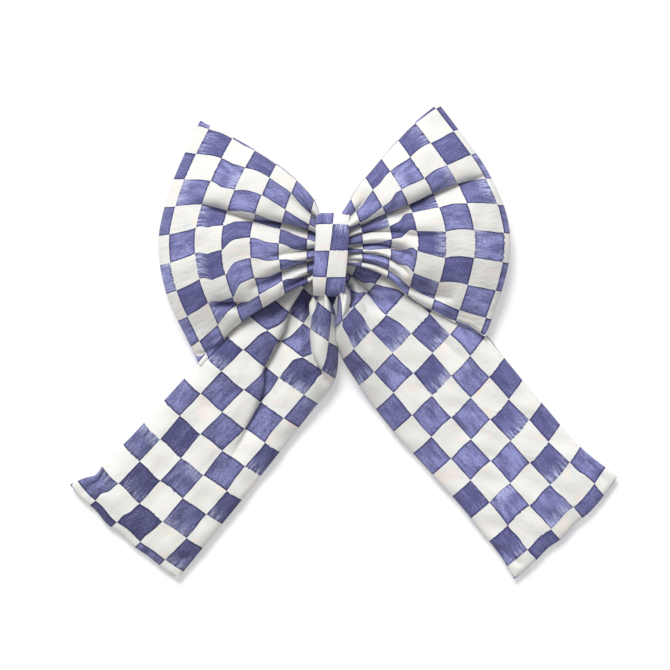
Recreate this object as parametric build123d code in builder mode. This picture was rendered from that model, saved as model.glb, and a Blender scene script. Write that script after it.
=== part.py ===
from build123d import *

import math
import os

# Stuffed fabric gift bow, laid on its back: two loops, a knot band round the gathered waist, and two tails.
#
# Frame, in millimetres: +Z is up and out of the bow's face, +Y runs from the tails to the loops' top
# corners, and +X runs to the right-hand loop as the bow is seen from its face. The origin is the centre of
# the knot band's flat back, on the plane that the bow rests on.
#
# The fabric is sewn as two stuffed tubes. The loop tube is cinched at its middle by a tie. The tail tube
# passes behind that waist, inside the knot band, and comes out on both sides of it. Each tube is divided
# here where it flexes, into a waist that stays with the knot and the loops or tails that move on it.

os.makedirs("parts", exist_ok=True)

# Driving dimensions
CHECK = 25.0  # side of one printed check
SKIN = 0.8  # one layer of fabric
GAP = 0.3  # clearance between pieces that move on each other
FILL_GAP = 0.3  # between a panel and the filling in it
THREAD = 0.7  # diameter of the sewing thread's hand stitches

BAND_WIDTH = 24.0  # knot band, along X
BAND_LENGTH = 71.0  # along Y
BAND_DEPTH = 43.0  # along Z, from the flat back to the face
BAND_CORNER = 14.0
BAND_WALL = 3.0  # fabric, wadding and lining together
BAND_SEAM_Y = -14.0  # where the band's ends are sewn together on its back
BAND_SEAM_DEPTH = THREAD + 0.05
BAND_SEAM_WIDTH = 4.4
BAND_STITCHES = 7
BAND_STITCH_PITCH = 3.0
BAND_STITCH_LENGTH = 3.6

WAIST_HALF_X = 15.2  # how far the gathered waist reaches to each side
WAIST_Z = 26.0  # height of the loops' seam plane
WAIST_NECK = (26.0, 10.6)  # half length and half depth of the waist under its tie
WAIST_FABRIC = 2.0  # gathered fabric round the waist's filling
PLEAT_RADIUS = 4.0
PLEATS = 6  # on each face of the waist
PLEAT_PITCH = 8.6
TIE_WIDTH = 3.6
TIE_THICKNESS = 1.6
TIE_GAP = 0.2  # between the tie and the pleats on each side of it

LOOP_REACH = 6 * CHECK  # from the knot's middle to a loop's outer seam
LOOP_SPAN = 8.5 * CHECK  # loop tube's flat height
LOOP_HEADING = {"left": 176.5, "right": 13.0}  # degrees from +X

TAIL_WIDTH = 4.7 * CHECK  # tail tube's flat width
TAIL_Z = 5.4  # height of the tails' seam plane
TAIL_HEADING = {"left": -127.3, "right": -47.6}
TAIL_ROOT = {"left": (-12.0, -20.0), "right": (12.0, -20.0)}
TAIL_REACH = {"left": 266.0, "right": 281.0}  # from the root to the end seam
TAIL_HINGE = 20.0  # from the root to where the tail folds
HEADER = (3.3, 9.9)  # lowest and highest face of the tail tube behind the waist
HEADER_TOP_Y = -2.0
HEADER_BOTTOM_Y = -24.0
HEADER_HALF = 15.0  # half width of the gathered tail tube at the fold

END_STITCHES = 11  # hand stitches that close each tail's end seam
END_STITCH_PITCH = 4.5
END_STITCH_LENGTH = 3.0
STITCH_CLEARANCE = 0.02  # between a stitch and the fabric that it lies on

SIDES = ("left", "right")


def plane_along(heading, distance, height, start=(0.0, 0.0), facing=None):
    """Plane at a distance along a flat heading in degrees, square to facing; its X runs to the left."""
    angle = math.radians(heading)
    along = Vector(math.cos(angle), math.sin(angle), 0)
    middle = Vector(start[0], start[1], height) + along * distance
    turned = math.radians(heading if facing is None else facing)
    normal = Vector(math.cos(turned), math.sin(turned), 0)
    return Plane(origin=middle, x_dir=(-normal.Y, normal.X, 0), z_dir=normal)


def half_ring(plane, half_width, half_depth, front):
    """Section of a panel: the fabric on the seam plane's front or back side of an elliptical tube."""
    with BuildSketch(plane, mode=Mode.PRIVATE) as section:
        Ellipse(half_width, half_depth)
        Ellipse(half_width - SKIN, half_depth - SKIN, mode=Mode.SUBTRACT)
        with Locations((0, -half_depth if front else half_depth)):
            Rectangle(3 * half_width, 2 * half_depth, mode=Mode.SUBTRACT)
    return section.sketch.faces()[0]


def export(piece, name):
    """Labels a finished piece and writes it as its own node."""
    piece.part.label = name
    export_step(piece.part, f"parts/{name}.step")


def export_stuffed_piece(name, sections):
    """Panels and filling of one stuffed tube, from sections of (plane, half width, half depth)."""
    for front, panel_name in ((True, "front_panel"), (False, "back_panel")):
        with BuildPart() as panel:
            loft([half_ring(*section, front) for section in sections], ruled=True)
        export(panel, f"{name}_{panel_name}")

    with BuildPart() as filling:
        for plane, half_width, half_depth in sections:
            with BuildSketch(plane):
                Ellipse(half_width - SKIN - FILL_GAP, half_depth - SKIN - FILL_GAP)
        loft(ruled=True)
    export(filling, f"{name}_filling")


def loop_sections(side):
    """A loop turns from the waist to its heading, swells to its stuffed depth and closes at its seam."""
    heading = LOOP_HEADING[side]
    straight = 0.0 if side == "right" else 180.0
    half = LOOP_SPAN / 2
    mouth = (WAIST_NECK[0] + PLEAT_RADIUS, WAIST_NECK[1] + PLEAT_RADIUS - 0.8)
    shape = (  # share of the reach, share of the turn, share of the half span, half depth
        (0.18, 0.2, 0.32, 15.6),
        (0.30, 0.5, 0.43, 19.6),
        (0.42, 0.8, 0.56, 23.0),
        (0.56, 1.0, 0.71, 24.8),
        (0.70, 1.0, 0.85, 23.0),
        (0.82, 1.0, 0.84, 17.5),
        (0.92, 1.0, 0.62, 10.6),
        (1.00, 1.0, 0.26, 3.0),
    )
    sections = [(plane_along(straight, WAIST_HALF_X + GAP, WAIST_Z), *mouth)]
    for reach, turn, span, half_depth in shape:
        facing = straight + turn * (heading - straight)
        plane = plane_along(heading, reach * LOOP_REACH, WAIST_Z, facing=facing)
        sections.append((plane, span * half, half_depth))
    return sections


def tail_sections(side):
    """A tail widens from its gathers to the tube's flat width, and thins towards its end seam."""
    heading, start, reach = TAIL_HEADING[side], TAIL_ROOT[side], TAIL_REACH[side]
    half = TAIL_WIDTH / 2
    shape = (  # distance from the root, half width, half depth
        (TAIL_HINGE + GAP, HEADER_HALF, 4.0),
        (45.0, 0.47 * half, 4.2),
        (67.0, 0.66 * half, 4.4),
        (100.0, 0.86 * half, 4.8),
        (150.0, 0.97 * half, 5.2),
        (reach - 60.0, half, 5.2),
        (reach - 15.0, half, 4.2),
        (reach, half, 1.8),
    )
    return [(plane_along(heading, s, TAIL_Z, start), half_width, depth) for s, half_width, depth in shape]


def band_ring(outer_inset, inner_inset):
    """Closed ring round the waist, between two insets from the knot band's outside."""
    with BuildPart() as ring:
        with BuildSketch(Plane.YZ.offset(-BAND_WIDTH / 2)):
            with Locations((0, BAND_DEPTH / 2)):
                RectangleRounded(
                    BAND_LENGTH - 2 * outer_inset, BAND_DEPTH - 2 * outer_inset, BAND_CORNER - outer_inset
                )
                RectangleRounded(
                    BAND_LENGTH - 2 * inner_inset,
                    BAND_DEPTH - 2 * inner_inset,
                    BAND_CORNER - inner_inset,
                    mode=Mode.SUBTRACT,
                )
        extrude(amount=BAND_WIDTH)
    return ring


# Knot band: a padded strip, turned and closed into a ring by a hand-sewn seam on its back

with BuildPart() as knot_band:
    add(band_ring(0, 1.0).part)
    with BuildSketch(Plane.XY):
        with Locations((0, BAND_SEAM_Y)):
            Rectangle(BAND_WIDTH, BAND_SEAM_WIDTH)
    extrude(amount=BAND_SEAM_DEPTH, mode=Mode.SUBTRACT)
export(knot_band, "knot_band")

knot_band_wadding = band_ring(1.0, BAND_WALL - SKIN)
export(knot_band_wadding, "knot_band_wadding")

knot_band_lining = band_ring(BAND_WALL - SKIN, BAND_WALL)
export(knot_band_lining, "knot_band_lining")

with BuildPart() as knot_band_stitches:
    with BuildSketch(Plane.XZ.offset(-BAND_SEAM_Y - BAND_STITCH_LENGTH / 2)):
        with Locations((0, BAND_SEAM_DEPTH / 2)):
            with GridLocations(BAND_STITCH_PITCH, 0, BAND_STITCHES, 1):
                Circle(THREAD / 2)
    extrude(amount=BAND_STITCH_LENGTH)
export(knot_band_stitches, "knot_band_stitches")


# Waist: the loop tube's middle, gathered into pleats and cinched by its tie


def waist_faces(top, neck):
    """Section of one gathered panel: a half ring round the filling, pleated except under the tie."""
    with BuildSketch(Plane.YZ, mode=Mode.PRIVATE) as section:
        with Locations((0, WAIST_Z)):
            Ellipse(*WAIST_NECK)
        if not neck:
            for index in range(PLEATS):
                y = (index - (PLEATS - 1) / 2) * PLEAT_PITCH
                rise = (WAIST_NECK[1] - 1.0) * math.sqrt(1 - (y / WAIST_NECK[0]) ** 2)
                with Locations((y, WAIST_Z + (rise if top else -rise))):
                    Circle(PLEAT_RADIUS)
        with Locations((0, WAIST_Z)):
            Ellipse(WAIST_NECK[0] - WAIST_FABRIC, WAIST_NECK[1] - WAIST_FABRIC, mode=Mode.SUBTRACT)
        with Locations((0, WAIST_Z + (-30 if top else 30))):
            Rectangle(120, 60, mode=Mode.SUBTRACT)
    return section.sketch


for top, name in ((True, "loop_waist_front_panel"), (False, "loop_waist_back_panel")):
    with BuildPart() as waist_panel:
        extrude(waist_faces(top, neck=True), amount=WAIST_HALF_X, both=True)
        extrude(waist_faces(top, neck=False), amount=WAIST_HALF_X, both=True)
        with BuildSketch(Plane.YZ.offset(-TIE_WIDTH / 2 - TIE_GAP)):
            with Locations((0, WAIST_Z)):
                Rectangle(120, 60)
                Ellipse(*WAIST_NECK, mode=Mode.SUBTRACT)
        extrude(amount=TIE_WIDTH + 2 * TIE_GAP, mode=Mode.SUBTRACT)
    export(waist_panel, name)

with BuildPart() as loop_waist_filling:
    with BuildSketch(Plane.YZ.offset(-WAIST_HALF_X)):
        with Locations((0, WAIST_Z)):
            Ellipse(WAIST_NECK[0] - WAIST_FABRIC, WAIST_NECK[1] - WAIST_FABRIC)
    extrude(amount=2 * WAIST_HALF_X)
export(loop_waist_filling, "loop_waist_filling")

with BuildPart() as waist_tie:
    with BuildSketch(Plane.YZ.offset(-TIE_WIDTH / 2)):
        with Locations((0, WAIST_Z)):
            Ellipse(WAIST_NECK[0] + TIE_THICKNESS, WAIST_NECK[1] + TIE_THICKNESS)
            Ellipse(*WAIST_NECK, mode=Mode.SUBTRACT)
    extrude(amount=TIE_WIDTH)
export(waist_tie, "waist_tie")


# Tail waist: the tail tube's gathered middle, behind the loop waist and out on both sides of the band


def header_outline(inset):
    """Outline of the gathered tail tube: level behind the waist, then turned down each tail."""
    corner_x = BAND_WIDTH / 2 + 0.8 - inset
    right, left = [], []
    for side, points in (("right", right), ("left", left)):
        end = plane_along(TAIL_HEADING[side], TAIL_HINGE, 0, TAIL_ROOT[side])
        outer, inner = HEADER_HALF - inset, -HEADER_HALF + inset
        if side == "left":
            outer, inner = inner, outer
        toward = 1 if side == "right" else -1
        outer_end = end.origin + end.x_dir * outer
        inner_end = end.origin + end.x_dir * inner
        points += [
            (toward * corner_x, HEADER_TOP_Y - inset),
            (outer_end.X, outer_end.Y),
            (inner_end.X, inner_end.Y),
            (toward * (corner_x + 2 * inset), HEADER_BOTTOM_Y + inset),
        ]
    return right + left[::-1]


HEADER_SEAM = (HEADER[0] + HEADER[1]) / 2
for name, inset, low, high, hollow in (
    ("tail_waist_front_panel", 0.0, HEADER_SEAM, HEADER[1], True),
    ("tail_waist_back_panel", 0.0, HEADER[0], HEADER_SEAM, True),
    ("tail_waist_filling", SKIN, HEADER[0] + SKIN, HEADER[1] - SKIN, False),
):
    with BuildPart() as tail_waist:
        with BuildSketch(Plane.XY.offset(low)):
            Polygon(*header_outline(inset), align=None)
        extrude(amount=high - low)
        if hollow:
            with BuildSketch(Plane.XY.offset(HEADER[0] + SKIN)):
                Polygon(*header_outline(SKIN), align=None)
            extrude(amount=HEADER[1] - HEADER[0] - 2 * SKIN, mode=Mode.SUBTRACT)
    export(tail_waist, name)


# Loops and tails, each a front panel and a back panel round a filling

for side in SIDES:
    export_stuffed_piece(f"{side}_loop", loop_sections(side))
    export_stuffed_piece(f"{side}_tail", tail_sections(side))

    seam_distance = TAIL_REACH[side] + THREAD / 2 + STITCH_CLEARANCE
    stitch_foot = TAIL_Z - END_STITCH_LENGTH / 2
    end_of_tail = plane_along(TAIL_HEADING[side], seam_distance, stitch_foot, TAIL_ROOT[side])
    stitch_row = Plane(origin=end_of_tail.origin, x_dir=end_of_tail.x_dir, z_dir=(0, 0, 1))
    with BuildPart() as end_stitches:
        with BuildSketch(stitch_row):
            with GridLocations(END_STITCH_PITCH, 0, END_STITCHES, 1):
                Circle(THREAD / 2)
        extrude(amount=END_STITCH_LENGTH)
    export(end_stitches, f"{side}_tail_end_stitches")
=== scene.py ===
# Stuffed fabric gift bow: loops and tails of stuffed tube, their gathered waists, and the band round them.
import math

import bpy
import numpy as np
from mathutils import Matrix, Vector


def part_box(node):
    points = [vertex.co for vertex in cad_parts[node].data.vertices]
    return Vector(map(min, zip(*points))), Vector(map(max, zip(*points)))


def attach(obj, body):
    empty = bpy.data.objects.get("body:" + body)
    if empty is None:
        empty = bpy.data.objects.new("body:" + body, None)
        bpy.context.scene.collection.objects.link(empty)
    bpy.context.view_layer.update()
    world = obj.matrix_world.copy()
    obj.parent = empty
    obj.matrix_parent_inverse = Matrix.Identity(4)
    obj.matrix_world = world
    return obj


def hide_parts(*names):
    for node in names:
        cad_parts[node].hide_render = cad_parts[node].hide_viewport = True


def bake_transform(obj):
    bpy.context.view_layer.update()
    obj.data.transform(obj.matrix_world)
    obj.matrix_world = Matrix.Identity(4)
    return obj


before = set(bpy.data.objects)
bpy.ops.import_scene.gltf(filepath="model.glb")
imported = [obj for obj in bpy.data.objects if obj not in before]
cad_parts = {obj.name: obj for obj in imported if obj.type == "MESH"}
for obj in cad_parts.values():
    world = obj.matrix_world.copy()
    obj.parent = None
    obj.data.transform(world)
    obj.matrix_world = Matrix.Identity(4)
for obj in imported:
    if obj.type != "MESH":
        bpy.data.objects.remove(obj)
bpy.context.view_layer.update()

MM = 0.001
CHECK = 25.0  # side of one painted check, in millimetres, as are all lengths up to the meshes
FIRST_CHECK = 20  # number of the first check at a seam: brush marks vary with a check's number
FACE_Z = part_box("knot_band")[1][2] / MM
SEAM_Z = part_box("left_loop_front_panel")[0][2] / MM
TAIL_SEAM_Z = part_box("left_tail_front_panel")[0][2] / MM
CLOTH = 0.8  # thickness of one layer
GRID = 2.0  # spacing of the cloth's threads in the simulation
SIDES = {"left": -1, "right": 1}


# Curves and surfaces of a sewn tube


def smooth_path(points, shares):
    """Points at the given shares of the way along a smooth curve through some points."""
    points = np.array(points, float)
    knots = np.concatenate([[0.0], np.cumsum(np.linalg.norm(np.diff(points, axis=0), axis=1))])
    slopes = np.gradient(points, knots, axis=0)
    at = np.clip(shares, 0, 1) * knots[-1]
    i = np.clip(np.searchsorted(knots, at) - 1, 0, len(knots) - 2)
    span = (knots[i + 1] - knots[i])[:, None]
    x = (at - knots[i])[:, None] / span
    start = (2 * x**3 - 3 * x**2 + 1) * points[i] + (x**3 - 2 * x**2 + x) * span * slopes[i]
    end = (3 * x**2 - 2 * x**3) * points[i + 1] + (x**3 - x**2) * span * slopes[i + 1]
    return start + end


def ramp(x, low, high):
    """0 below low, 1 above high and smooth between them."""
    x = np.clip((x - low) / (high - low), 0, 1)
    return x * x * (3 - 2 * x)


def plan_patch(edges, t, a):
    """Plan of a tube between its four edges.

    t runs out from the knot, from 0 to 1, and a runs from the low edge (-1) to the high one (1).
    """
    b = (a + 1) / 2
    low, high = (smooth_path(edges[name], t)[:, None] for name in ("low", "high"))
    near, far = (smooth_path(edges[name], b)[None] for name in ("near", "far"))
    t, b = t[:, None, None], b[None, :, None]
    corners = (1 - t) * ((1 - b) * low[:1] + b * high[:1]) + t * ((1 - b) * low[-1:] + b * high[-1:])
    return (1 - b) * low + b * high + (1 - t) * near + t * far - corners


def sink_folds(folds, plan, t, a):
    """How far folds sink into a panel, and how far they slide under one of their sides.

    A fold is a skew, a lap and a line of (t, a, depth, width). A positive skew makes its wall on the high
    side steep and the other one gentle, and a positive lap tucks its bottom that far under the high side.
    """
    depth, slide = np.zeros(plan.shape[:2]), np.zeros(plan.shape[:2])
    half_width = np.linalg.norm(plan[:, -1] - plan[:, 0], axis=1)[:, None] / 2
    for skew, lap, line in folds:
        at, place, deep, wide = np.array(line, float).T
        middle = np.interp(t, at, place)[:, None]
        deep = np.interp(t, at, deep, left=0 if at[0] > 0.01 else None, right=0)[:, None]
        wide = np.interp(t, at, wide)[:, None]
        away = (a[None] - middle) * half_width / wide
        shaped = np.where(away > 0, away / (1 - skew), -away / (1 + skew))
        sunk = deep * np.exp(-(shaped**1.25))
        depth = np.maximum(depth, sunk) + 0.25 * np.minimum(depth, sunk)
        slide = slide + lap * deep / max(deep.max(), 0.1) * np.exp(-((1.9 * away + 0.35 * np.sign(lap)) ** 2))
    return depth, slide


def gathers(count, depth, reach, seed):
    """Small pleats that run out of the waist and die away, no two alike."""
    rng = np.random.default_rng(seed)
    folds = []
    for i in range(count):
        place = -1 + 2 * (i + 0.5 + 0.5 * (rng.random() - 0.5)) / count
        length = reach * (0.55 + 0.75 * rng.random())
        deep = depth * (0.6 + 0.7 * rng.random())
        drift = 0.1 * (rng.random() - 0.5)
        line = [
            (0.0, place, deep, 2.6),
            (0.5 * length, place + drift, 0.8 * deep, 3.2),
            (length, place + 2 * drift, 0, 4),
        ]
        folds.append((0.5 * (rng.random() - 0.5), 2.5 * (rng.random() - 0.5), line))
    return folds


def ripples(plan, seed):
    """Slight unevenness of stuffed cloth: low waves a few checks long, in scattered directions."""
    rng = np.random.default_rng(seed)
    height = np.zeros(plan.shape[:2])
    wave_count = 18
    for _ in range(wave_count):
        heading = 2 * math.pi * rng.random()
        length = 14 + 34 * rng.random()
        wave = plan[..., 0] * math.cos(heading) + plan[..., 1] * math.sin(heading)
        crest = plan[..., 1] * math.cos(heading) - plan[..., 0] * math.sin(heading)
        bend = 6 * np.sin(crest / 31 + 6 * rng.random())
        height += 0.006 * length * np.sin(2 * math.pi * (wave + bend) / length + 6.3 * rng.random())
    return height


def draped_panel(tube, front, rows, columns):
    """Starting shape of one panel: threads spaced evenly along each section of the target surface."""
    samples = 260
    t, a = np.linspace(0, 1, rows), np.linspace(-1, 1, samples)
    plan = plan_patch(tube["edges"], t, a)
    seam, rise = tube["height"](t[:, None], a[None], front)
    folds, slide = sink_folds(tube["front_folds" if front else "back_folds"], plan, t, a)
    edge_fade = np.clip(rise / 6, 0, 1)
    across = plan[:, -1] - plan[:, 0]
    across = across / np.linalg.norm(across, axis=1, keepdims=True)
    plan = plan + (slide * edge_fade)[..., None] * across[:, None]
    uneven = ripples(plan, tube["seed"] + (0 if front else 1)) * np.clip(rise / 5, 0, 1)
    z = seam + (rise + uneven - folds * edge_fade) * (1 if front else -1)
    surface = np.dstack([plan, z])
    panel = np.empty((rows, columns, 3))
    for row in range(rows):
        run = np.concatenate([[0.0], np.cumsum(np.linalg.norm(np.diff(surface[row], axis=0), axis=1))])
        even = np.linspace(0, run[-1], columns)
        for axis in range(3):
            panel[row, :, axis] = np.interp(even, run, surface[row, :, axis])
    return panel


# Cloth simulation: position-based threads under the stuffing's pressure

STEPS = 40
PULLS_PER_STEP = 5
DRAG = 0.93  # share of its speed that a point keeps from one step to the next
FULLNESS = (0.012, 0.02)  # spare cloth along and across a tube, as a share of its length
MAP_CELL = 3.0
MAP_REACH = 300.0  # how far the height map reaches to each side of the bow's origin
MAP_SIZE = int(2 * MAP_REACH / MAP_CELL)


def pull(points, a, b, rest, stiffness):
    """Moves the ends of each thread between slices a and b of points towards its rest length."""
    gap = points[b] - points[a]
    length = np.linalg.norm(gap, axis=-1, keepdims=True) + 1e-9
    move = 0.5 * stiffness * gap * (1 - rest[..., None] / length)
    points[a] += move
    points[b] -= move


def thread_sets(shape):
    """Slices of the grid whose threads share no point, so that all of them can be pulled at once."""
    straight, diagonal, bending = 1.0, 0.35, 0.12
    threads = (
        (1, 0, straight),
        (0, 1, straight),
        (1, 1, diagonal),
        (1, -1, diagonal),
        (2, 0, bending),
        (0, 2, bending),
    )
    sets = []
    for di, dj, stiffness in threads:
        step_i, step_j = 2 * max(di, 1) if di else 1, 2 * max(abs(dj), 1) if dj else 1
        for i0 in range(step_i if di else 1):
            for j0 in range(step_j if dj else 1):
                rows_a = np.arange(i0, shape[1] - di, step_i)
                columns_a = np.arange(j0 + (1 if dj < 0 else 0), shape[2] - max(dj, 0), step_j)
                if len(rows_a) == 0 or len(columns_a) == 0:
                    continue
                a = np.ix_(range(2), rows_a, columns_a)
                b = np.ix_(range(2), rows_a + di, columns_a + dj)
                sets.append((a, b, stiffness, (di, dj)))
    return sets


def outward(points):
    """Unit normals of both panels, out of the tube."""
    along = np.gradient(points, axis=1)
    across = np.gradient(points, axis=2)
    normal = np.cross(along, across)
    normal /= np.linalg.norm(normal, axis=-1, keepdims=True) + 1e-9
    if normal[0, ..., 2].mean() < 0:
        normal = -normal
    normal[1] *= -1
    return normal


def settle(start, hold, heights, pressure, seed):
    """Lets the stuffed cloth settle on whatever is highest below it, and returns both panels' threads."""
    points = start.copy()
    rng = np.random.default_rng(seed)
    excess_along, excess_across = FULLNESS
    sets = []
    for a, b, stiffness, (di, dj) in thread_sets(points.shape):
        rest = np.linalg.norm(start[b] - start[a], axis=-1)
        share = abs(dj) / (abs(di) + abs(dj))
        sets.append((a, b, stiffness, rest * (1 + share * excess_across + (1 - share) * excess_along)))
    points[:, 1:-1, 1:-1] += 0.5 * (rng.random(points[:, 1:-1, 1:-1].shape) - 0.5)
    before = points.copy()
    for _ in range(STEPS):
        speed = DRAG * (points - before)
        before = points.copy()
        points = points + speed + pressure * outward(points)
        for _ in range(PULLS_PER_STEP):
            for a, b, stiffness, rest in sets:
                pull(points, a, b, rest, stiffness)
            for seam in (np.s_[:, -1], np.s_[:, :, 0], np.s_[:, :, -1]):
                points[seam] = points[seam].mean(axis=0)
            points += hold * (start - points)
            points[..., 2] = np.maximum(points[..., 2], heights[map_cells(points)])
    return points


def level_map(height):
    """Height map of a bare table, whose surface cloth keeps this far above."""
    return np.full((MAP_SIZE, MAP_SIZE), height)


def map_cells(points):
    """Cells of the height map under some points."""
    cells = np.clip(((points[..., :2] + MAP_REACH) / MAP_CELL).astype(int), 0, MAP_SIZE - 1)
    return cells[..., 0], cells[..., 1]


def stack_height(heights, points, clearance):
    """Raises the height map to the top of a settled tube."""
    np.maximum.at(heights, map_cells(points), points[..., 2] + clearance)


def tuck_under(points, start, out, radius):
    """Rolls what lies past a line in plan back under itself. The line runs from start, square to out."""
    fade_in = (-14, 6)  # the roll begins between these places along the line
    start, out = np.array(start, float), np.array(out, float)
    along = np.array([out[1], -out[0]])
    from_start = points[..., :2] - start
    past = (from_start @ out) * ramp(from_start @ along, *fade_in)
    angle = np.clip(past / radius, 0, math.pi)
    beyond = np.maximum(past - math.pi * radius, 0)
    rolled = points.copy()
    rolled[..., :2] += (radius * np.sin(angle) - beyond - np.maximum(past, 0))[..., None] * out
    rolled[..., 2] -= radius * (1 - np.cos(angle))
    return rolled


# The bow's two loops and two tails


def print_layout(width, from_end, from_edge, parity, from_high=True, drawn_in=(0, 0, 0)):
    """How the printed check lies on a tube of this width.

    Its first whole checks start from_end from the far seam and from_edge from the high or the low edge, and
    a parity of 1 swaps blue and white. drawn_in makes the checks smaller towards the knot, as a guess at
    what gathers too small to model take up: along that edge, more for each millimetre away from it, and
    across.
    """
    return {
        "width": width,
        "from_end": from_end,
        "from_edge": from_edge,
        "parity": parity,
        "from_high": from_high,
        "drawn_in": drawn_in,
    }


def loop_height(seam_low, seam_far):
    """Height of a loop's seam plane, and the rise of its panels from it.

    The seam comes down to seam_far at the far end, and seam_low further at its low corner.
    """

    def height(t, a, front):
        seam_near = SEAM_Z + 2
        seam = seam_near - (seam_near - seam_far) * ramp(t, 0.1, 0.95) * np.ones_like(a)
        seam = seam - seam_low * ramp(-a, 0.3, 1.0) * ramp(t, 0.35, 0.9)
        waist = 10.0
        full = FACE_Z - SEAM_Z + 6
        swell = waist + (full - waist) * ramp(t, 0.02, 0.5)
        closing = np.clip(1 - np.clip((t - 0.52) / 0.48, 0, 1) ** 2.4, 0, 1) ** 0.62
        round_off = np.clip(1 - np.abs(a) ** 2.6, 0, 1) ** 0.55
        rise = swell * closing * round_off
        if not front:
            rise = np.minimum(rise, np.maximum(seam - 1.2, 0) * round_off * closing)
        return seam, rise

    return height


LOOP_TUCK = (-82, -58)  # where the left loop's corner starts to roll under itself, beside the tail's edge
LOOP_TUCK_NORMAL = (0.76, -0.65)
LOOP_TUCK_RADIUS = 3.0
LOOP_LENGTH = 6 * CHECK
LOOP_WIDTH = 8.8 * CHECK
# How strongly cloth keeps to its draped shape, and how strongly at the seams, and the stuffing's pressure
LOOP_CLOTH = {"hold": 0.03, "seam_hold": 0.1, "pressure": 0.04}
LOOPS = {
    "left": {
        "edges": {
            "high": [(-9, 36), (-14, 48), (-21, 56), (-37, 70.5), (-56, 84), (-76, 96), (-109, 113)],
            "low": [(-9, -17), (-14, -21), (-32, -30), (-52, -42), (-71, -54), (-106, -99)],
            "near": [(-9, -17), (-9, 8), (-9, 36)],
            "far": [(-106, -99), (-119.5, -73), (-138.5, -30), (-144.5, 10), (-138, 45), (-122, 86),
                    (-109, 113)],
        },
        "height": loop_height(11.0, 17.0),
        "front_folds": [
            (0.3, 3, [(0.0, 0.22, 17, 2.4), (0.2, 0.19, 16, 4.5), (0.45, 0.18, 15, 6), (0.66, 0.27, 12, 6),
                      (0.84, 0.34, 0, 6)]),
            (0.2, 3, [(0.0, -0.5, 17, 2.4), (0.2, -0.6, 14, 4), (0.34, -0.67, 11, 5), (0.48, -0.7, 0, 6)]),
            (0.0, 0, [(0.0, -0.16, 16, 2.2), (0.15, -0.26, 9, 3), (0.3, -0.34, 3, 5), (0.4, -0.36, 0, 7)]),
            (0.0, 4, [(0.5, -0.86, 0, 4), (0.58, -0.8, 12, 3.5), (0.68, -0.7, 11, 3.5),
                      (0.76, -0.66, 0, 5)]),
            (0.0, 0, [(0.0, 0.62, 16, 2.2), (0.14, 0.64, 8, 3), (0.3, 0.68, 0, 6)]),
            (0.0, 0, [(0.0, -0.8, 15, 2.2), (0.18, -0.87, 7, 3), (0.3, -0.9, 0, 5)]),
            (0.0, 0, [(0.05, 0.02, 0, 3), (0.14, 0.02, 4, 3), (0.26, 0.0, 0, 5)]),
        ],
        "print": print_layout(9.2 * CHECK, 11.5, 5.0, 1),
        "seed": 5,
    },
    "right": {
        "edges": {
            "high": [(9, 34), (13.5, 41), (22, 55), (37, 73.5), (52, 91), (68, 108.5), (91, 128)],
            "low": [(9, -8), (14, -8), (35, -12), (50, -20), (62, -31), (95, -51), (131, -69)],
            "near": [(9, -9), (9, 12), (9, 34)],
            "far": [(131, -69), (138, -49), (147, -22), (152, 8), (148, 36), (133, 70), (107, 107),
                    (91, 128)],
        },
        "height": loop_height(3.0, 17.0),
        "front_folds": [
            (0.2, 4, [(0.0, 0.14, 17, 2.4), (0.2, 0.13, 14, 3.5), (0.38, 0.18, 17, 5), (0.6, 0.25, 18, 6),
                      (0.8, 0.28, 13, 6), (0.97, 0.3, 5, 5)]),
            (0.0, 2, [(0.0, -0.1, 17, 2.2), (0.18, -0.1, 11, 3.5), (0.42, -0.2, 7, 5),
                      (0.62, -0.18, 0, 6)]),
            (0.0, 3, [(0.0, -0.42, 16, 2.2), (0.2, -0.42, 13, 3.5), (0.38, -0.47, 11, 5.5),
                      (0.45, -0.5, 0, 7)]),
            (0.0, 4, [(0.0, -0.66, 15, 2), (0.2, -0.64, 11, 2.5), (0.36, -0.7, 9, 3), (0.46, -0.75, 0, 6)]),
            (0.0, 0, [(0.0, -0.86, 12, 2), (0.2, -0.84, 10, 2.5), (0.36, -0.86, 7, 3), (0.44, -0.9, 0, 6)]),
            (-0.3, 0, [(0.36, -0.92, 0, 5), (0.45, -0.9, 9, 4), (0.62, -0.85, 9, 5), (0.76, -0.8, 0, 8)]),
            (0.0, 0, [(0.0, 0.56, 16, 2.2), (0.15, 0.6, 7, 3), (0.3, 0.66, 0, 6)]),
        ],
        "print": print_layout(LOOP_WIDTH, 6.1, 4.0, 0),
        "seed": 8,
    },
}


def tail_height(knot_rise, roll):
    """Height of a tail's seam plane, and the rise of its panels from it.

    A tail is low under the loop. Beside the knot it has a high roll, knot_rise tall, along a = roll.
    """

    def height(t, a, front):
        near = 1 - ramp(t, 0.1, 0.4)
        inner = np.exp(-(((a - roll) / 0.42) ** 2))
        outer = np.exp(-(((a - 0.35) / 0.4) ** 2))
        seam = TAIL_SEAM_Z + 1 + 0.3 * knot_rise * near * ramp(-a, 0.0, 1.0)
        stuffing = 7.4 + 3.5 * np.sin(math.pi * np.clip(t, 0, 0.6) / 0.6)
        swell = stuffing + near * (0.8 * knot_rise * inner + 5 * outer)
        closing = np.clip(1 - np.clip((t - 0.86) / 0.14, 0, 1) ** 2.2, 0, 1) ** 0.5
        round_off = np.clip(1 - np.abs(a) ** 5, 0, 1) ** 0.5
        rise = swell * closing * round_off
        if not front:
            rise = np.minimum(rise, (seam - 0.5) * closing * round_off)
        return seam, rise

    return height


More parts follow.
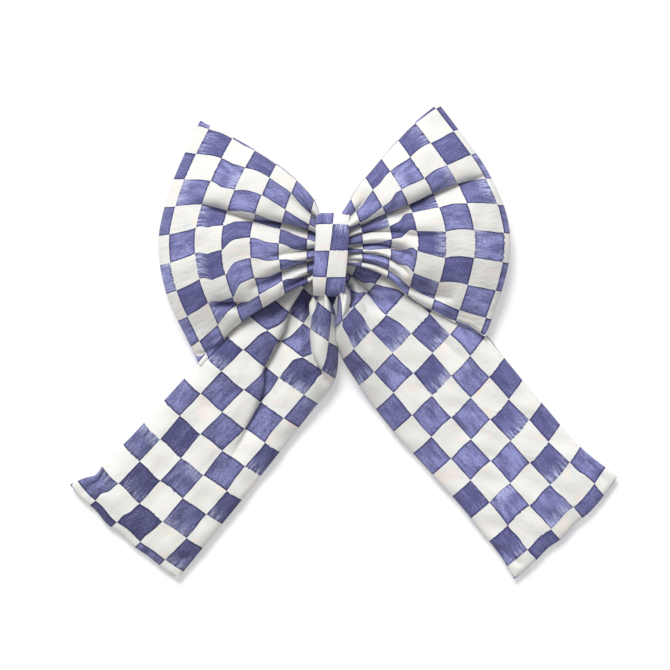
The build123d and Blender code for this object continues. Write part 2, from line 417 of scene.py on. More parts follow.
TAIL_LENGTH = 281.5
TAIL_WIDTH = 4.7 * CHECK
TAIL_CLOTH = {"hold": 0.035, "seam_hold": 0.12, "pressure": 0.025}
TAILS = {
    "left": {
        "edges": {
            "high": [(-8, -6), (-40, -32), (-71, -52), (-107, -87), (-175, -160), (-192, -177),
                     (-198, -185), (-206, -187), (-219.5, -193.3)],
            "low": [(-7, -30), (2, -42), (6, -66), (3, -108), (-15, -131), (-70, -201), (-128, -272.5)],
            "near": [(-7, -30), (-9, -18), (-8, -6)],
            "far": [(-128, -272.5), (-140, -264.5), (-153, -254.2), (-165, -246), (-176, -235.3),
                    (-188, -226.8), (-198, -215), (-210, -204.8), (-219.5, -193.3)],
        },
        "height": tail_height(24.0, -0.5),
        "front_folds": [
            (0.4, 6, [(0.0, 0.52, 12, 2.4), (0.08, 0.52, 16, 4), (0.14, 0.42, 18, 6), (0.17, 0.36, 18, 7),
                      (0.23, 0.18, 17, 7), (0.29, 0.14, 15, 6), (0.36, 0.02, 13, 6), (0.4, -0.18, 11, 5.5),
                      (0.47, -0.32, 9, 6), (0.555, -0.42, 5, 7), (0.64, -0.46, 0, 8)]),
            (-0.3, -6, [(0.0, 0.1, 15, 2.4), (0.06, 0.22, 17, 3), (0.11, 0.26, 18, 4), (0.15, 0.02, 19, 5),
                        (0.19, -0.14, 19, 5), (0.235, -0.32, 17, 5), (0.26, -0.52, 13, 5),
                        (0.28, -0.8, 7, 5), (0.3, -0.97, 2, 4)]),
            (0.0, 0, [(0.0, -0.3, 14, 2), (0.05, -0.35, 8, 3), (0.12, -0.4, 4, 3.5), (0.17, -0.5, 0, 4)]),
            (0.0, 0, [(0.15, 0.3, 0, 4), (0.2, 0.12, 4, 4), (0.26, 0.0, 0, 4)]),
            (0.0, 1.5, [(0.86, 0.97, 0, 3), (0.9, 0.9, 6, 3), (0.95, 0.84, 6, 3), (0.99, 0.8, 0, 3)]),
            (0.0, 0, [(0.9, 0.76, 0, 3), (0.94, 0.72, 4, 3), (0.985, 0.66, 0, 3)]),
            (0.0, 0, [(0.9, -0.96, 0, 3), (0.94, -0.88, 4, 3), (0.985, -0.8, 0, 3)]),
        ],
        "print": print_layout(TAIL_WIDTH, 7.2, 23.5, 0),
        "seed": 11,
    },
    "right": {
        "edges": {
            "high": [(8, -3), (36, -2), (66, -6), (90, -22), (112, -44), (132, -67), (150, -90),
                     (181, -127), (213, -163), (243, -186.5)],
            "low": [(7, -30), (6, -48), (3, -64), (7, -80), (24, -109), (123, -227), (146, -257),
                    (155, -272)],
            "near": [(7, -30), (9, -16), (8, -3)],
            "far": [(155.5, -273), (174, -257.5), (184, -247), (196, -238.5), (207, -226.5), (219, -216.8),
                    (230, -204), (243, -186.5)],
        },
        "height": tail_height(26.0, -0.6),
        "front_folds": [
            (0.3, -4, [(0.0, 0.4, 14, 2.4), (0.06, 0.38, 17, 4), (0.1, 0.32, 19, 6), (0.135, 0.24, 19, 7),
                       (0.17, 0.14, 13, 6), (0.22, 0.08, 0, 6)]),
            (0.2, -5, [(0.0, 0.0, 14, 2.4), (0.06, -0.01, 15, 3), (0.1, -0.18, 16, 4),
                       (0.115, -0.41, 16, 4), (0.12, -0.82, 12, 5), (0.14, -0.98, 6, 4),
                       (0.16, -1.0, 0, 4)]),
            (0.0, 0, [(0.0, -0.35, 12, 2), (0.04, -0.49, 6, 3), (0.085, -0.57, 0, 3)]),
            (0.0, 2, [(0.12, -0.11, 0, 4), (0.165, -0.16, 7, 4), (0.225, -0.21, 6, 4),
                      (0.31, -0.25, 0, 5)]),
            (0.0, 0, [(0.15, -0.44, 0, 4), (0.19, -0.48, 4, 4), (0.25, -0.51, 0, 5)]),
            (0.0, 0, [(0.275, 0.3, 0, 6), (0.375, 0.41, 3.5, 6), (0.49, 0.48, 0, 8)]),
            (0.0, 1, [(0.88, 0.97, 0, 3), (0.92, 0.9, 5, 3), (0.96, 0.84, 5, 3), (0.99, 0.8, 0, 3)]),
            (0.0, -1, [(0.88, -0.97, 0, 3), (0.93, -0.9, 5, 3), (0.97, -0.84, 5, 3), (0.99, -0.8, 0, 3)]),
        ],
        "print": print_layout(TAIL_WIDTH, 12.0, -1.5, 1, from_high=False, drawn_in=(0.075, 0.0005, 0.0009)),
        "seed": 14,
    },
}


def make_tube(tube, length, width, cloth, heights):
    """Drapes and settles both panels of a tube, and returns their threads."""
    rows, columns = int(length / GRID), int(width / GRID)
    start = np.array([draped_panel(tube, front, rows, columns) for front in (True, False)])
    hold = np.full(start.shape[:3] + (1,), cloth["hold"])
    hold[:, :2] = 1.0
    for seam in (np.s_[:, -1], np.s_[:, :, 0], np.s_[:, :, -1]):
        hold[seam] = np.maximum(hold[seam], cloth["seam_hold"])
    return settle(start, hold, heights, cloth["pressure"], tube["seed"])


# Meshes


def new_object(name, data):
    """Adds an object to the scene."""
    obj = bpy.data.objects.new(name, data)
    bpy.context.scene.collection.objects.link(obj)
    return obj


def evaluated_mesh(obj):
    """Plain mesh of an object as it looks with its modifiers, or of a curve with its thickness."""
    bpy.context.view_layer.update()
    return bpy.data.meshes.new_from_object(obj.evaluated_get(bpy.context.evaluated_depsgraph_get()))


def grid_object(name, points, uv, flip):
    """Mesh of one panel from its grid of points, with its print coordinates as a UV map."""
    rows, columns = points.shape[:2]
    index = np.arange(rows * columns).reshape(rows, columns)
    quads = np.stack([index[:-1, :-1], index[1:, :-1], index[1:, 1:], index[:-1, 1:]], axis=-1).reshape(-1, 4)
    if flip:
        quads = quads[:, ::-1]
    mesh = bpy.data.meshes.new(name)
    mesh.from_pydata((points.reshape(-1, 3) * MM).tolist(), [], quads.tolist())
    layer = mesh.uv_layers.new(name="print")
    corners = np.empty(len(mesh.loops), dtype=np.int32)
    mesh.loops.foreach_get("vertex_index", corners)
    layer.data.foreach_set("uv", uv.reshape(-1, 2)[corners].astype(np.float32).ravel())
    return new_object(name, mesh)


def finish_mesh(obj, thickness=None):
    """Gives a mesh its thickness and smoothness, and keeps the result as plain mesh."""
    if thickness:
        solid = obj.modifiers.new("thickness", "SOLIDIFY")
        solid.thickness = thickness * MM
        solid.offset = -1
        solid.use_even_offset = False
    smooth = obj.modifiers.new("smooth", "SUBSURF")
    smooth.levels = smooth.render_levels = 1
    final = evaluated_mesh(obj)
    obj.modifiers.clear()
    obj.data = final
    for polygon in obj.data.polygons:
        polygon.use_smooth = True
    return obj


def print_coordinates(rows, columns, length, layout):
    """Painted-check coordinates of each thread, one unit to a check."""
    width = layout["width"]
    from_end = np.linspace(length, 0, rows)[:, None] * np.ones((1, columns))
    from_edge = np.linspace(0, width, columns)[None] * np.ones((rows, 1))
    if layout["from_high"]:
        from_edge = width - from_edge
    gathered = np.clip(from_end - 1.6 * CHECK, 0, 6.4 * CHECK)
    along_edge, more_inside, crossways = layout["drawn_in"]
    from_end = from_end + gathered * (along_edge + more_inside * from_edge)
    from_edge = from_edge + gathered * crossways * (from_edge - CHECK)
    along = (from_end - layout["from_end"]) / CHECK + FIRST_CHECK + layout["parity"]
    across = (from_edge - layout["from_edge"]) / CHECK + FIRST_CHECK
    return np.dstack([along, across])


def add_tube(name, threads, length, layout, cover, inner):
    """Front panel, back panel and filling of a settled tube."""
    back_shift = np.array([3.0, 0.37])  # the two panels are cut from different places of the printed cloth
    rows, columns = threads.shape[1:3]
    uv = print_coordinates(rows, columns, length, layout)
    pieces = {}
    along = np.gradient(threads[0], axis=0)
    across = np.gradient(threads[0], axis=1)
    faces_up = np.cross(along, across)[..., 2].mean() > 0
    for front, part in ((True, "front_panel"), (False, "back_panel")):
        panel_uv = uv if front else uv + back_shift
        panel = grid_object(f"{name}_{part}_cloth", threads[0 if front else 1], panel_uv, front != faces_up)
        finish_mesh(panel, CLOTH)
        panel.data.materials.append(cover)
        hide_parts(f"{name}_{part}")
        pieces[part] = panel
    pieces["filling"] = filling_object(f"{name}_wadding", threads, inner)
    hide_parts(f"{name}_filling")
    return pieces


def filling_object(name, threads, material):
    """Closed body of wadding inside a tube's two panels, a little smaller than the space between them."""
    fill, clearance, least = 0.86, 2.6, 0.02
    middle = threads.mean(axis=0)
    half = (threads[0] - threads[1]) / 2
    depth = np.linalg.norm(half, axis=-1, keepdims=True) + 1e-6
    half = half * np.clip((fill * depth - clearance) / depth, least, 1)
    top, bottom = (middle + half)[1:-1, 1:-1][::2, ::2], (middle - half)[1:-1, 1:-1][::2, ::2]
    rows, columns = top.shape[:2]
    index = np.arange(rows * columns).reshape(rows, columns)
    under = index + rows * columns
    under[0], under[-1], under[:, 0], under[:, -1] = index[0], index[-1], index[:, 0], index[:, -1]
    points = np.concatenate([top.reshape(-1, 3), bottom.reshape(-1, 3)])
    rim = np.zeros((rows, columns), bool)
    rim[0] = rim[-1] = rim[:, 0] = rim[:, -1] = True
    points[index[rim]] = (top[rim] + bottom[rim]) / 2
    quads = []
    for layer, turn in ((index, 1), (under, -1)):
        faces = np.stack([layer[:-1, :-1], layer[1:, :-1], layer[1:, 1:], layer[:-1, 1:]], axis=-1)
        quads += faces.reshape(-1, 4)[:, ::turn].tolist()
    mesh = bpy.data.meshes.new(name)
    mesh.from_pydata((points * MM).tolist(), [], quads)
    used = sorted({corner for quad in quads for corner in quad})
    keep = {old: new for new, old in enumerate(used)}
    mesh.clear_geometry()
    mesh.from_pydata((points[used] * MM).tolist(), [], [[keep[c] for c in quad] for quad in quads])
    mesh.materials.append(material)
    for polygon in mesh.polygons:
        polygon.use_smooth = True
    return new_object(name, mesh)


# Materials


class Nodes:
    """Short spellings for a material's nodes. A value is a number, a vector or another node's output."""

    def __init__(self, name):
        self.material = bpy.data.materials.new(name)
        self.material.use_nodes = True
        self.tree = self.material.node_tree
        self.shader = self.tree.nodes["Principled BSDF"]

    def wire(self, socket, value):
        if isinstance(value, bpy.types.NodeSocket):
            self.tree.links.new(value, socket)
        elif value is not None:
            socket.default_value = value

    def math(self, operation, *values):
        node = self.tree.nodes.new("ShaderNodeMath")
        node.operation = operation
        for socket, value in zip(node.inputs, values):
            self.wire(socket, value)
        return node.outputs[0]

    def vector(self, operation, *values):
        node = self.tree.nodes.new("ShaderNodeVectorMath")
        node.operation = operation
        for socket, value in zip(node.inputs, values):
            self.wire(socket, value)
        return node.outputs[0]

    def noise(self, at, scale, detail=2.0, roughness=0.5):
        node = self.tree.nodes.new("ShaderNodeTexNoise")
        node.noise_dimensions = "3D"
        self.wire(node.inputs["Vector"], at)
        node.inputs["Scale"].default_value = scale
        node.inputs["Detail"].default_value = detail
        node.inputs["Roughness"].default_value = roughness
        return node.outputs["Fac"]

    def random(self, at):
        node = self.tree.nodes.new("ShaderNodeTexWhiteNoise")
        self.wire(node.inputs["Vector"], at)
        return node.outputs["Value"]

    def fade(self, value, low, high, to_low=0.0, to_high=1.0):
        node = self.tree.nodes.new("ShaderNodeMapRange")
        node.interpolation_type = "SMOOTHSTEP"
        for socket, setting in zip(node.inputs, (value, low, high, to_low, to_high)):
            self.wire(socket, setting)
        return node.outputs[0]

    def mix(self, share, first, second):
        node = self.tree.nodes.new("ShaderNodeMix")
        node.data_type = "RGBA"
        number_factor, color_a, color_b = (node.inputs[i] for i in (0, 6, 7))
        self.wire(number_factor, share)
        self.wire(color_a, first)
        self.wire(color_b, second)
        return node.outputs[2]

    def split(self, vector):
        node = self.tree.nodes.new("ShaderNodeSeparateXYZ")
        self.wire(node.inputs[0], vector)
        return node.outputs[0], node.outputs[1]

    def join(self, x, y, z=0.0):
        node = self.tree.nodes.new("ShaderNodeCombineXYZ")
        for socket, value in zip(node.inputs, (x, y, z)):
            self.wire(socket, value)
        return node.outputs[0]

    def stretch(self, u, v, per_u, per_v, layer):
        """Place in a noise that is repeated so often along u and v. Different layers don't look alike."""
        return self.join(self.math("MULTIPLY", u, per_u), self.math("MULTIPLY", v, per_v), layer)

    def bump(self, height, distance, strength, normal=None):
        node = self.tree.nodes.new("ShaderNodeBump")
        node.inputs["Distance"].default_value = distance
        node.inputs["Strength"].default_value = strength
        self.wire(node.inputs["Height"], height)
        if normal is not None:
            self.wire(node.inputs["Normal"], normal)
        return node.outputs[0]

    def position(self):
        return self.tree.nodes.new("ShaderNodeTexCoord").outputs["Object"]


def color(red, green, blue):
    """Linear colour from 0 to 255 display values."""
    parts = []
    for value in (red, green, blue):
        value /= 255
        parts.append(value / 12.92 if value <= 0.04045 else ((value + 0.055) / 1.055) ** 2.4)
    return (*parts, 1.0)


def painted_check(name, ink=1.06):
    """Cotton with hand-painted checks: brush-drawn edges, dry streaks, tinted whites and a fine rib.

    Blue is multiplied by ink at a tube's far end, where u is FIRST_CHECK, and by half as much of a change
    seven checks further in.
    """
    tone = 0.84  # how much light the cloth returns, over its painted colours
    n = Nodes(name)
    uv_node = n.tree.nodes.new("ShaderNodeUVMap")
    uv_node.uv_map = "print"
    u, v = n.split(uv_node.outputs[0])

    # Brush-drawn edges: some checks end in long bristle marks, and all edges wobble a little
    cell = n.random(n.join(n.math("FLOOR", u), n.math("FLOOR", v), 3.0))
    bristles = n.noise(n.stretch(u, v, 1.2, 10.0, 1.0), 1.0, 5.0, 0.75)
    drag = n.fade(cell, 0.76, 0.92, 0.015, 0.26)
    ragged_u = n.math("MULTIPLY_ADD", n.math("SUBTRACT", bristles, 0.5), drag, u)
    wobble = n.noise(n.stretch(u, v, 3.0, 3.0, 7.0), 1.0, 3.0, 0.6)
    ragged_v = n.math("MULTIPLY_ADD", n.math("SUBTRACT", wobble, 0.5), 0.035, v)
    ragged_u = n.math("MULTIPLY_ADD", n.math("SUBTRACT", wobble, 0.5), 0.03, ragged_u)

    # Which checks are blue, and how near the edge of its check a place is
    column, row = n.math("FLOOR", ragged_u), n.math("FLOOR", ragged_v)
    half = n.math("MULTIPLY", n.math("ADD", column, row), 0.5)
    blue = n.math("GREATER_THAN", n.math("FRACT", half), 0.25)
    in_u, in_v = n.math("FRACT", ragged_u), n.math("FRACT", ragged_v)
    side_u = n.math("MINIMUM", in_u, n.math("SUBTRACT", 1.0, in_u))
    side_v = n.math("MINIMUM", in_v, n.math("SUBTRACT", 1.0, in_v))
    edge = n.fade(n.math("MINIMUM", side_u, side_v), 0.01, 0.09, 1.0, 0.0)

    # Blue paint: a wash, darker checks, dark edges, and dry streaks where the brush lifts
    square = n.random(n.join(column, row, 9.0))
    wash = n.noise(n.stretch(u, v, 1.3, 3.2, 4.0), 1.0, 3.0, 0.6)
    blues = n.mix(n.fade(wash, 0.32, 0.68), color(99, 100, 146), color(146, 148, 201))
    blues = n.mix(n.fade(square, 0.35, 0.95, 0.0, 0.75), blues, color(80, 80, 128))
    blues = n.mix(n.math("MULTIPLY", edge, 0.9), blues, color(50, 47, 100))
    dry = n.noise(n.stretch(u, v, 1.5, 9.0, 2.0), 1.0, 6.0, 0.78)
    turned = n.math("ABSOLUTE", n.math("SUBTRACT", in_u, n.math("ROUND", square)))
    lifts = n.fade(turned, 0.5, 0.95)
    dragged = n.math("MULTIPLY", lifts, n.fade(cell, 0.5, 0.85))
    streak = n.math("MULTIPLY", n.fade(dry, 0.44, 0.6), dragged)
    patch = n.noise(n.stretch(u, v, 0.8, 1.6, 21.0), 1.0, 2.0, 0.5)
    middle_streak = n.math("MULTIPLY", n.fade(dry, 0.48, 0.66), n.fade(patch, 0.5, 0.66, 0.08, 0.5))
    blues = n.mix(n.math("MULTIPLY", streak, 0.85), blues, color(192, 196, 228))
    blues = n.mix(middle_streak, blues, color(168, 171, 214))

    # White cloth with faint pink, blue and yellow tints
    tint = n.noise(n.join(u, v, 12.0), 1.7, 2.0, 0.5)
    tint_two = n.noise(n.stretch(u, v, 0.7, 2.4, 15.0), 1.6, 2.0, 0.5)
    whites = n.mix(n.fade(tint, 0.52, 0.74), color(232, 232, 228), color(241, 229, 220))
    whites = n.mix(n.math("MULTIPLY", n.fade(tint_two, 0.6, 0.78), 0.5), whites, color(214, 226, 233))
    whites = n.mix(n.math("MULTIPLY", n.fade(tint, 0.42, 0.26), 0.35), whites, color(233, 234, 216))

    # Woven threads, which show more through the paint
    cloth = n.mix(blue, whites, blues)
    ribs_per_check = 24, 20
    rib_u, rib_v = (
        n.math("SINE", n.math("MULTIPLY", along, 2 * math.pi * count))
        for along, count in zip((u, v), ribs_per_check)
    )
    slub = n.noise(n.stretch(u, v, 2.0, 40.0, 8.0), 1.0, 2.0, 0.6)
    rib = n.math("MULTIPLY_ADD", rib_u, 0.16, n.math("SUBTRACT", slub, 0.5))
    rib = n.math("MULTIPLY_ADD", rib_v, 0.3, rib)
    grain = n.noise(n.stretch(u, v, 15.0, 19.0, 17.0), 1.0, 2.0, 0.6)
    weave = n.math("MULTIPLY_ADD", n.math("SUBTRACT", grain, 0.5), 3.2, rib)
    # Blue is scaled by ink at the far end, fading to half that change seven checks in: a little lighter on
    # the loops, and darker towards the left tail's far end
    blue_scaling = n.fade(u, FIRST_CHECK, FIRST_CHECK + 7, tone * (ink - 1), tone * (ink - 1) / 2)
    inked = n.math("MULTIPLY_ADD", blue, blue_scaling, tone)
    shade = n.math("MULTIPLY_ADD", weave, 0.035, inked)
    shade = n.math("MULTIPLY_ADD", n.math("MULTIPLY", weave, blue), 0.42, shade)
    shaded = n.vector("MULTIPLY", cloth, n.join(shade, shade, shade))
    n.wire(n.shader.inputs["Base Color"], shaded)
    n.shader.inputs["Roughness"].default_value = 0.82
    n.shader.inputs["Specular IOR Level"].default_value = 0.25
    n.shader.inputs["Sheen Weight"].default_value = 0.12
    n.shader.inputs["Sheen Roughness"].default_value = 0.5

    # Soft creases, with the threads on them
    crumple = n.noise(n.stretch(u, v, 1.2, 2.6, 5.0), 1.6, 4.0, 0.55)
    creased = n.bump(crumple, 1.3 * MM, 0.5)
    n.wire(n.shader.inputs["Normal"], n.bump(rib, 0.12 * MM, 0.6, creased))
    return n.material


def plain_cloth(name, tint, rib_pitch):
    """Unprinted cotton or thread with a fine twill."""
    n = Nodes(name)
    at = n.position()
    x, y = n.split(at)
    grain = n.noise(at, 900.0, 2.0)
    twill = n.math("SINE", n.math("MULTIPLY", n.math("ADD", x, y), 2 * math.pi / (rib_pitch * MM)))
    base = n.mix(n.fade(grain, 0.35, 0.65), color(*tint), color(*(0.93 * c for c in tint)))
    n.wire(n.shader.inputs["Base Color"], base)
    n.shader.inputs["Roughness"].default_value = 0.85
    n.wire(n.shader.inputs["Normal"], n.bump(n.math("ADD", grain, twill), 0.1 * MM, 0.5))
    return n.material


def wadding(name):
    """Matted polyester fibres."""
    n = Nodes(name)
    at = n.position()
    fibres = n.noise(at, 380.0, 6.0, 0.7)
    clumps = n.noise(at, 60.0, 3.0)
    base = n.mix(n.fade(fibres, 0.35, 0.7), color(246, 246, 244), color(226, 227, 228))
    n.wire(n.shader.inputs["Base Color"], base)
    n.shader.inputs["Roughness"].default_value = 0.95
    n.wire(n.shader.inputs["Normal"], n.bump(n.math("ADD", fibres, clumps), 0.8 * MM, 0.8))
    return n.material


# Knot band


BAND_CHECK = 21.5
BAND_HALF_HEIGHT = 33.0
BAND_HALF_WIDTH = 12.6
BAND_PADDING = 2.7  # from the ring's middle line to the band's face
BAND_STEPS = 180  # points round the waist
FOLD_STEPS = 48  # points round the band's own section


def rounded(wave, power):
    """A sine or cosine with its tops flattened, so that a circle made with it has straighter sides."""
    return np.sign(wave) * np.abs(wave) ** power


def band_path(angle):
    """Middle line of the band's ring: its y and z round the waist, with flattened back and face."""
    y, z = rounded(np.cos(angle), 0.66), rounded(np.sin(angle), 0.66)
    half_depth = FACE_Z / 2
    return BAND_HALF_HEIGHT * y, half_depth + (half_depth - BAND_PADDING) * z


def band_ring(name, layer, width_share, material, crown):
    """One layer of the band, between two distances from its middle line, with a rounded fold at each side."""
    low, high = layer
    angle = np.linspace(0, 2 * math.pi, BAND_STEPS + 1)[:-1] - 0.5 * math.pi
    y, z = band_path(angle)
    centre = np.stack([y, z], axis=1)
    tangent = np.roll(centre, -1, axis=0) - np.roll(centre, 1, axis=0)
    normal = np.stack([tangent[:, 1], -tangent[:, 0]], axis=1)
    normal /= np.linalg.norm(normal, axis=1, keepdims=True)
    if (normal * (centre - centre.mean(axis=0))).sum() < 0:
        normal = -normal
    across = np.linspace(0, 2 * math.pi, FOLD_STEPS + 1)[:-1]
    side = rounded(np.cos(across), 0.75)
    lift = np.sin(across)
    # The face is wider than the back, and leans a little
    front = ramp(z, 12, 30)
    half_width = (BAND_HALF_WIDTH + 1.3 * front - 0.5 * ramp(-y, 10, 34)) * width_share
    lean = front * (0.8 + 1.5 * y / 26)
    points = np.empty((len(angle), len(across), 3))
    flat = np.where(lift > 0, high, low)[None, :] * np.abs(lift)[None, :] ** 0.5
    facing = np.maximum(normal[:, 1], 0)[:, None]
    bulge = crown * facing * np.cos(np.clip(side * math.pi / 2, -1.5, 1.5))[None, :] * (lift > 0)[None, :]
    wave = 0.45 * np.sin(3.1 * angle + 0.6)[:, None] * side[None, :] ** 2
    wave = wave + 0.3 * np.sin(2.3 * angle)[:, None] * np.sin(5 * side)[None, :]
    lean = lean + 0.35 * np.sin(5 * angle + 1)
    points[..., 0] = lean[:, None] + side[None, :] * half_width[:, None]
    points[..., 1] = y[:, None] + normal[:, :1] * (flat + bulge + wave)
    points[..., 2] = z[:, None] + normal[:, 1:] * (flat + bulge + wave)
    points[..., 2] = np.maximum(points[..., 2], 0.3)
    run = np.concatenate([[0.0], np.cumsum(np.linalg.norm(np.diff(centre, axis=0), axis=1))])
    total = run[-1] + np.linalg.norm(centre[0] - centre[-1])
    on_face = z > 0.8 * FACE_Z
    row_line_y = 2.9  # one line between the print's rows crosses the face here
    centre_row = np.interp(row_line_y, y[on_face][::-1], run[on_face][::-1])
    uv = np.empty(points.shape[:2] + (2,))
    uv[..., 0] = ((run - centre_row) / BAND_CHECK + FIRST_CHECK + 10)[:, None]
    column_line = -0.6 + 3.2 * y / 26
    uv[..., 1] = FIRST_CHECK + (points[..., 0] - column_line[:, None]) / CHECK
    closed = np.concatenate([points, points[:1]], axis=0)
    closed = np.concatenate([closed, closed[:, :1]], axis=1)
    uv = np.concatenate([uv, uv[:1] + np.array([total / BAND_CHECK, 0])], axis=0)
    uv = np.concatenate([uv, uv[:, :1]], axis=1)
    obj = grid_object(name, closed, uv, True)
    weld = obj.modifiers.new("weld", "WELD")
    weld.merge_threshold = 0.00001
    finish_mesh(obj)
    obj.data.materials.append(material)
    return obj


def thread_curve(name, radius, roundness):
    """Empty curve for sewing thread."""
    curve = bpy.data.curves.new(name, "CURVE")
    curve.dimensions = "3D"
    curve.bevel_depth = radius * MM
    curve.bevel_resolution = roundness
    return curve


def thread_mesh(name, curve, material):
    """Mesh object of finished thread."""
    holder = new_object(f"{name}_curve", curve)
    mesh = evaluated_mesh(holder)
    bpy.data.objects.remove(holder)
    mesh.materials.clear()
    mesh.materials.append(material)
    return new_object(name, mesh)


def stitch_row(name, places, half_stitch, material):
    """Short hand stitches, each a round-ended thread that reaches half_stitch to both sides of its place."""
    curve = thread_curve(name, 0.3, 3)
    curve.use_fill_caps = True
    for place in places:
        spline = curve.splines.new("POLY")
        spline.points.add(4)
        for point, share in zip(spline.points, np.linspace(-1, 1, 5)):
            at = np.array(place) + np.array(half_stitch) * share
            point.co = (*(at * MM), 1)
            point.radius = math.sqrt(max(1 - 0.75 * share * share, 0.2))
    return thread_mesh(name, curve, material)


# Waist: the gathered middle of each tube, between its two sides and inside the band


BRIDGE_ROWS = 9
LOOP_WAIST = {"pinch": 0.3, "sag": 0.0, "droop": 0.0, "first_check": FIRST_CHECK + 6}
TAIL_WAIST = {"pinch": 0.0, "sag": 4.0, "droop": 16.0, "first_check": FIRST_CHECK + 7}


def bridge_rows(left, right, waist):
    """Rows of threads from the left side's mouth to the right one's, pinched and sagging at the middle.

    Their low edge hangs out below the band by the waist's droop.
    """
    lowest = 1.0
    rows = []
    low_side = ramp(np.linspace(1, 0, len(left)), 0.55, 1.0)
    centre = (left.mean(axis=0) + right.mean(axis=0)) / 2
    for share in np.linspace(0, 1, BRIDGE_ROWS):
        row = left * (1 - share) + right * share
        middle = math.sin(math.pi * share)
        row[:, 1:] += (centre[1:] - row[:, 1:]) * waist["pinch"] * middle
        row[:, 2] = np.maximum(row[:, 2] - waist["sag"] * middle, lowest)
        row[:, 1] -= waist["droop"] * low_side * middle
        row[:, 2] = np.maximum(row[:, 2] - waist["droop"] * low_side * middle, lowest)
        rows.append(row)
    return np.array(rows)


def add_waist(name, left, right, waist, cover, inner, slot):
    """Front cloth, back cloth and wadding of a tube's gathered middle."""
    width = left.shape[1]
    bridges = [bridge_rows(left[i], right[i], waist) for i in range(2)]
    along = np.linspace(0, 0.8, BRIDGE_ROWS)[:, None] * np.ones((1, width)) + waist["first_check"]
    across = np.linspace(0, width * GRID / CHECK, width)[None] * np.ones((BRIDGE_ROWS, 1)) + FIRST_CHECK
    uv = np.dstack([along, across])
    normal = np.cross(np.gradient(bridges[0], axis=0), np.gradient(bridges[0], axis=1))
    faces_up = normal[..., 2].mean() > 0
    for i, part in enumerate(("front_panel", "back_panel")):
        panel = grid_object(f"{name}_{part}_cloth", bridges[i], uv, (i == 0) != faces_up)
        finish_mesh(panel, CLOTH)
        panel.data.materials.append(cover)
        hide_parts(f"{name}_{part}")
        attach(panel, "knot")
    core = filling_object(f"{name}_wadding", np.array(bridges), inner)
    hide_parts(f"{name}_filling")
    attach(core, "knot")
    return bridges


def waist_thread(name, bridges, material):
    """Thread wound round the loops' waist, and resting on it."""
    turns = (-1.2, 0.0, 1.2)
    bins = np.linspace(-math.pi, math.pi, 33)
    least, clearance = 9.0, 1.2
    middle = BRIDGE_ROWS // 2
    ring = np.concatenate([bridges[0][middle], bridges[1][middle][::-1]])
    centre = ring.mean(axis=0)
    away = ring - centre
    distance = np.linalg.norm(away, axis=1)
    angle = np.arctan2(away[:, 2], away[:, 1])
    reach = [
        distance[(angle >= low) & (angle <= high)].max(initial=least) + clearance
        for low, high in zip(bins[:-1], bins[1:])
    ]
    curve = thread_curve(name, 0.55, 2)
    for x in turns:
        spline = curve.splines.new("NURBS")
        spline.points.add(len(reach) - 1)
        spline.use_cyclic_u = True
        for point, size, turn in zip(spline.points, reach, (bins[:-1] + bins[1:]) / 2):
            at = centre + np.array([x, size * math.cos(turn), size * math.sin(turn)])
            point.co = (*(at * MM), 1)
    return thread_mesh(name, curve, material)


# Putting the bow together


def add_tail(side, heights, cover, inner, thread):
    """One tail with its closing stitches. Raises the height map, and returns the mouth of the tail's tube."""
    tube = TAILS[side]
    tube["front_folds"] += gathers(3, 2.0, 0.12, tube["seed"] + 40)
    tube["back_folds"] = gathers(8, 3.0, 0.25, tube["seed"] + 50)
    threads = make_tube(tube, TAIL_LENGTH, TAIL_WIDTH, TAIL_CLOTH, level_map(0.5))
    stack_height(heights, threads[0], 1.2)
    pieces = add_tube(f"{side}_tail", threads, TAIL_LENGTH, tube["print"], cover, inner)
    for piece in pieces.values():
        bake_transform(piece)
    stitch_count, half_stitch = 12, (0, 0, 1.3)
    seam = threads[0, -1]
    step = len(seam) // stitch_count
    stitches = stitch_row(f"{side}_tail_closing_stitches", seam[step // 2 :: step], half_stitch, thread)
    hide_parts(f"{side}_tail_end_stitches")
    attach(stitches, f"{side}_tail")
    return threads[:, 0].copy()


def add_loop(side, heights, cover, inner):
    """One loop, which lies on the tails. Returns the mouth of its tube."""
    tube, toward = LOOPS[side], SIDES[side]
    tube["front_folds"] += gathers(3, 2.0, 0.2, tube["seed"] + 60)
    tube["back_folds"] = gathers(9, 4.0, 0.5, tube["seed"] + 70)
    threads = make_tube(tube, LOOP_LENGTH, LOOP_WIDTH, LOOP_CLOTH, heights)
    if side == "left":
        threads = tuck_under(threads, LOOP_TUCK, LOOP_TUCK_NORMAL, LOOP_TUCK_RADIUS)
        threads[..., 2] = np.maximum(threads[..., 2], 0.5)
    pieces = add_tube(f"{side}_loop", threads, LOOP_LENGTH, tube["print"], cover, inner)
    for piece in pieces.values():
        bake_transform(piece)
    return threads[:, 0].copy()


def add_band(cover, inner, lining, thread):
    """The knot's three layers, and the stitches that close it at the back."""
    for name, layer, share, material, crown, node, slot in (
        ("knot_band_cloth", (-1.0, 2.0), 1.0, cover, 1.2, "knot_band", "knot_fabric"),
        ("knot_band_padding", (-1.2, 1.2), 0.93, inner, 1.0, "knot_band_wadding", "wadding"),
        ("knot_band_inner_cloth", (-1.9, -1.1), 0.97, lining, 0.0, "knot_band_lining", "lining"),
    ):
        ring = band_ring(name, layer, share, material, crown)
        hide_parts(node)
        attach(ring, "knot")
    places = [(x, -14.0, 0.6) for x in np.linspace(-10.0, 10.0, 8)]
    seam = stitch_row("knot_band_seam_stitches", places, (0.7, 1.7, 0.0), thread)
    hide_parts("knot_band_stitches")
    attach(seam, "knot")


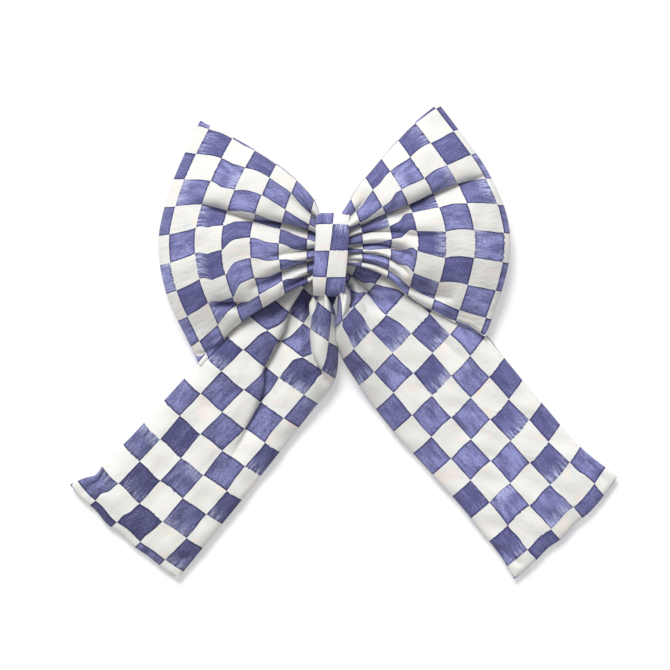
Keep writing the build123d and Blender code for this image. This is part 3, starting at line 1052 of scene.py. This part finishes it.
def build_bow():
    """Makes every piece, tails first because the loops lie on them."""
    fabric = painted_check("painted_check_cotton")
    # The left tail gets a copy of the same cloth whose blue is darker, most of all towards its far end
    tail_fabric = {"left": painted_check("painted_check_cotton_darker_blue", 0.66), "right": fabric}
    fluff = wadding("polyester_wadding")
    plain = plain_cloth("band_lining_cotton", (222, 219, 210), 0.9)
    thread = plain_cloth("sewing_thread", (226, 226, 222), 0.5)
    heights = level_map(0.6)

    tails = [add_tail(side, heights, tail_fabric[side], fluff, thread) for side in SIDES]
    loops = [add_loop(side, heights, fabric, fluff) for side in SIDES]
    add_band(fabric, fluff, plain, thread)
    waist = add_waist("loop_waist", *loops, LOOP_WAIST, fabric, fluff, "loop_fabric")
    winding = waist_thread("waist_thread", waist, thread)
    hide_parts("waist_tie")
    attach(winding, "knot")
    add_waist("tail_waist", *tails, TAIL_WAIST, fabric, fluff, "tail_fabric")


def light_and_floor():
    """White floor under the bow, a wide soft light from beyond its top, and even light all round."""
    bpy.ops.mesh.primitive_plane_add(size=6, location=(0, 0, 0))
    floor = bpy.context.object
    floor.name = "studio_floor"
    n = Nodes("studio_white")
    n.shader.inputs["Base Color"].default_value = (0.68, 0.68, 0.685, 1)
    n.shader.inputs["Roughness"].default_value = 0.9
    n.shader.inputs["Specular IOR Level"].default_value = 0.1
    n.shader.inputs["Emission Color"].default_value = (1, 1, 1, 1)
    n.shader.inputs["Emission Strength"].default_value = 0.29
    floor.data.materials.append(n.material)

    world = bpy.data.worlds.new("studio")
    bpy.context.scene.world = world
    world.use_nodes = True
    world.node_tree.nodes["Background"].inputs[0].default_value = (1, 1, 1, 1)
    world.node_tree.nodes["Background"].inputs[1].default_value = 0.54

    lamp = bpy.data.lights.new("window", "SUN")
    lamp.angle = 0.45
    lamp.energy = 3.15
    new_object("window", lamp).rotation_euler = (-0.8, 0.0, 0.3)


def place_camera():
    """Looks straight down from far away, with the bow's tops towards the top of the picture."""
    picture_width = 0.5628  # what the picture shows at middle_height, in metres
    middle_height = 0.015
    height = 2.6
    optics = bpy.data.cameras.new("camera")
    optics.sensor_width = 36.0
    optics.lens = optics.sensor_width * (height - middle_height) / picture_width
    camera = new_object("camera", optics)
    camera.location = (0.0042, -0.0672, height)
    bpy.context.scene.camera = camera


bpy.context.scene.view_settings.view_transform = "Standard"
place_camera()
light_and_floor()
build_bow()
